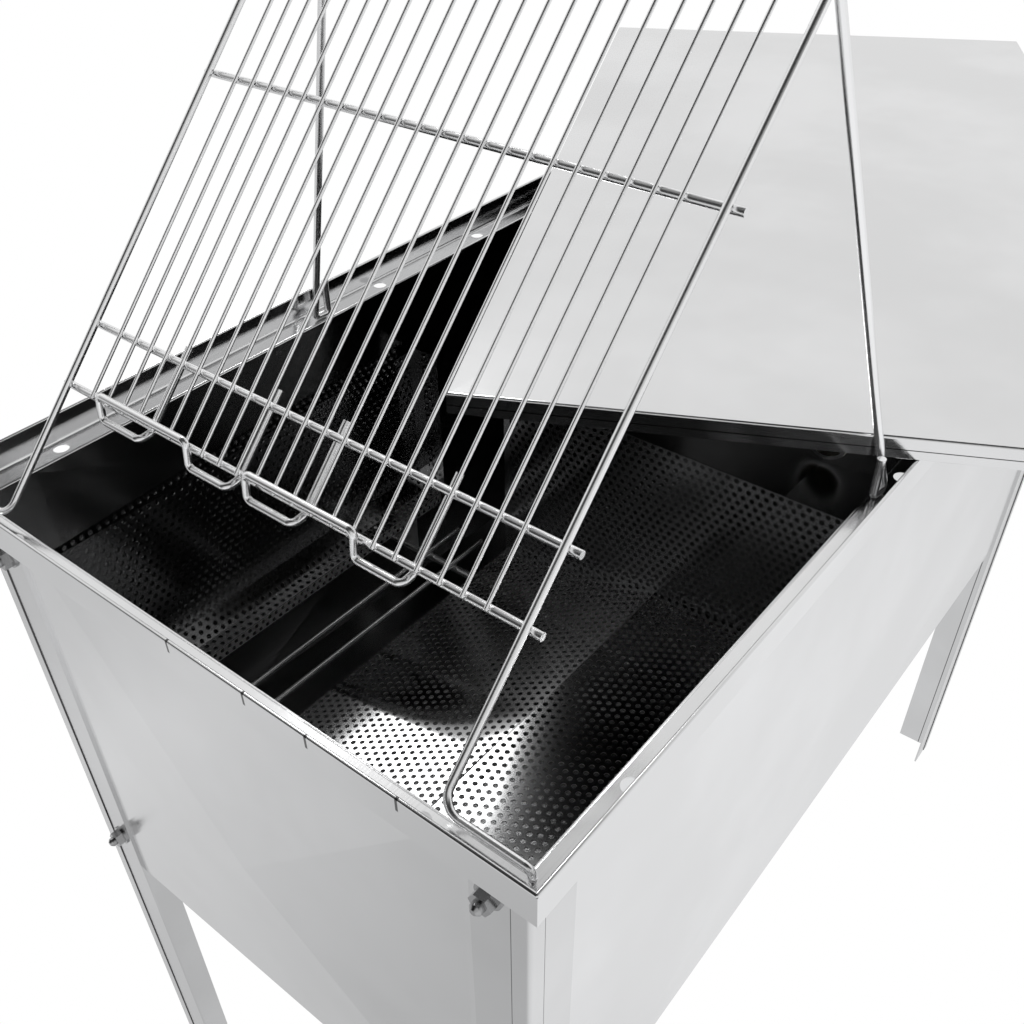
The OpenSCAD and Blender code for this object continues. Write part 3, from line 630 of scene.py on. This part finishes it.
def wire_welds():
    """A bead where each grid wire meets each bar of the rack."""
    shape = bead(WELD_R)
    tree, ports = lattice_tree(shape, MATERIALS["rod_steel"])
    made = bmesh.new()
    across = Vector((1, 0, 0))
    up = Vector((0, math.cos(LEAN), math.sin(LEAN)))
    out = across.cross(up)
    turn = Matrix((across, up, out)).transposed().to_4x4()
    row = {"Columns": WIRES, "Rows": 1, "Pitch": WIRE_PITCH, "Row pitch": WIRE_PITCH, "Shift": 0.0}
    for bar in BAR_AT:
        turn.translation = mm(*FOOT) + up * bar + out * -WELD_DOWN
        append(made, lattice_mesh(tree, ports, row), turn)
    bpy.data.objects.remove(shape)
    return finished("wire_welds", made, "rod_steel", "rack")


# The rack's lean, its foot's middle, its bars' places up the rack and its wires' pitch in metres
LEAN = math.radians(45.5)
FOOT = (-3, -483, RIM_Z - 14)
BAR_AT = [0.097, 0.141, 0.321, 0.465]
WIRES, WIRE_PITCH = 22, 0.01574
# The beads' radius, and how far they lie behind the rack's plane through its foot
WELD_R, WELD_DOWN = 0.0021, 0.0026
wire_welds()


# Camera
# The lens in millimetres and its shift, and the place and turn that were fitted to the photograph
LENS, SHIFT = 37.4956, (0.01427, 0.04696)
CAMERA_AT, CAMERA_TURN = (416.77, -710.64, 1236.96), (50.0667, 0.9778, 38.9484)
lens = bpy.data.cameras.new("camera")
lens.sensor_width = 36.0
lens.lens = LENS
lens.shift_x, lens.shift_y = SHIFT
lens.clip_end = 50.0
camera = bpy.data.objects.new("camera", lens)
camera.location = mm(*CAMERA_AT)
camera.rotation_euler = [math.radians(a) for a in CAMERA_TURN]
bpy.context.collection.objects.link(camera)
bpy.context.scene.camera = camera


# Studio
def white_floor():
    """A pale floor: plain white to the camera, and to the steel a glowing grey with a painted shadow near
    the tank.
    """
    corners = [(x * FLOOR_REACH, y * FLOOR_REACH, 0) for x, y in SQUARE]
    made = mesh_object("floor", corners, [(0, 1, 2, 3)])
    paint, surface, place = material("floor_paint")
    surface.inputs["Base Color"].default_value = grey(0.86)
    surface.inputs["Roughness"].default_value = 0.9
    surface.inputs["Specular IOR Level"].default_value = 0.1
    made.data.materials.append(paint)
    across, along, _ = place.xyz()
    ends = {0: place, 1: tuple(mm(*FLOOR_SHADOW))}
    away = place.node("ShaderNodeVectorMath", ends, output="Value", operation="DISTANCE")
    # Painted shade: the floor's grey, seen only in reflections, is darkest near the tank's near side,
    # lighter to the right and darker to the left and far side.
    tone = FLOOR_LOW + away.ramp(*AWAY) * FLOOR_RISE + across.ramp(*TO_RIGHT) * FLOOR_RIGHT
    tone = tone - (0.0 - across).smooth(*TO_LEFT) * FLOOR_LEFT - along.ramp(*TO_FAR) * FLOOR_FAR
    seen = tone.mix_colour(grey(0.0), grey(1.0, 0.01))
    to_camera = place.node("ShaderNodeLightPath", {}, output="Is Camera Ray")
    to_gloss = place.node("ShaderNodeLightPath", {}, output="Is Glossy Ray")
    glow = place.node("ShaderNodeEmission", {"Color": to_camera.mix_colour(seen, grey(1.0))})
    plain = Value(place.tree, surface.outputs[0])
    choice = place.node("ShaderNodeMixShader", {0: to_camera.math("MAXIMUM", to_gloss), 1: plain, 2: glow})
    place.tree.links.new(choice.socket, place.tree.nodes["Material Output"].inputs["Surface"])
    return made


def room():
    """The room that the steel reflects: white to the left, the far side and the front, dark overhead."""
    world = bpy.data.worlds.new("studio")
    bpy.context.scene.world = world
    world.use_nodes = True
    tree = world.node_tree
    tree.nodes.clear()
    direction = Value(tree, None).node("ShaderNodeTexCoord", {}, output="Generated")
    across, along, up = direction.xyz()
    low = 1.0 - up.smooth(*DARK_TOP)
    left = (across * LEFT_WAY[0] + along * LEFT_WAY[1]).smooth(*LEFT_EDGE) * low
    front = (across * FRONT_WAY[0] + along * FRONT_WAY[1]).smooth(*FRONT_EDGE) * low * FRONT_LIGHT
    far = (across * FAR_WAY[0] + along * FAR_WAY[1]).smooth(*FAR_EDGE)
    horizon = (1.0 - up.smooth(*HORIZON_TOP)) * far * SIDE_LIGHT
    bright = left.math("MAXIMUM", horizon.math("MAXIMUM", front))
    seen = bright.mix_colour(grey(ROOM_LOW), grey(ROOM_HIGH))
    to_camera = direction.node("ShaderNodeLightPath", {}, output="Is Camera Ray")
    shown = to_camera.mix_colour(seen, grey(1.0))
    back = direction.node("ShaderNodeBackground", {"Color": shown, "Strength": 1.0})
    tree.links.new(back.socket, tree.nodes.new("ShaderNodeOutputWorld").inputs["Surface"])


def lamp(name, direction, distance, size, power):
    """A square soft box in a direction from the trays, facing them."""
    made = bpy.data.lights.new(name, "AREA")
    made.shape = "SQUARE"
    made.size = size
    made.energy = power
    held = bpy.data.objects.new(name, made)
    held.location = mm(*LIT) + Vector(direction).normalized() * distance
    held.rotation_euler = (-Vector(direction)).to_track_quat("-Z", "Y").to_euler()
    bpy.context.collection.objects.link(held)


# The floor's half size in metres, the middle of its painted shadow in millimetres, the distances
# in metres over which its painted shade changes from there, to the right, left and far side, and its greys
FLOOR_REACH = 30
FLOOR_SHADOW = (0, -750, 0)
AWAY, TO_RIGHT, TO_LEFT, TO_FAR = (0.0, 0.75), (0.2, 0.55), (0.6, 1.1), (0.3, 1.3)
FLOOR_LOW, FLOOR_RISE, FLOOR_RIGHT, FLOOR_LEFT, FLOOR_FAR = 0.50, 0.27, 0.15, 0.14, 0.1
# The room's greys, and how bright its horizon and its front are
ROOM_LOW, ROOM_HIGH, SIDE_LIGHT, FRONT_LIGHT = 0.025, 0.87, 1.05, 0.8
# Each bright part's way, across and along, and the shares of it between which the part sets in
LEFT_WAY, LEFT_EDGE = (-0.6, 0.8), (-0.25, 0.45)
FRONT_WAY, FRONT_EDGE = (0.75, -0.65), (0.45, 0.8)
FAR_WAY, FAR_EDGE = (0.5, 1.0), (-0.3, 0.2)
# How steeply up the room and its horizon turn dark
DARK_TOP, HORIZON_TOP = (0.78, 0.93), (0.4, 0.65)
# What the soft box faces
LIT = (0, -200, 600)
white_floor()
room()
lamp("soft_box", direction=(-0.52, 0.44, 0.73), distance=3.0, size=0.6, power=10)

bpy.context.scene.view_settings.view_transform = "Standard"
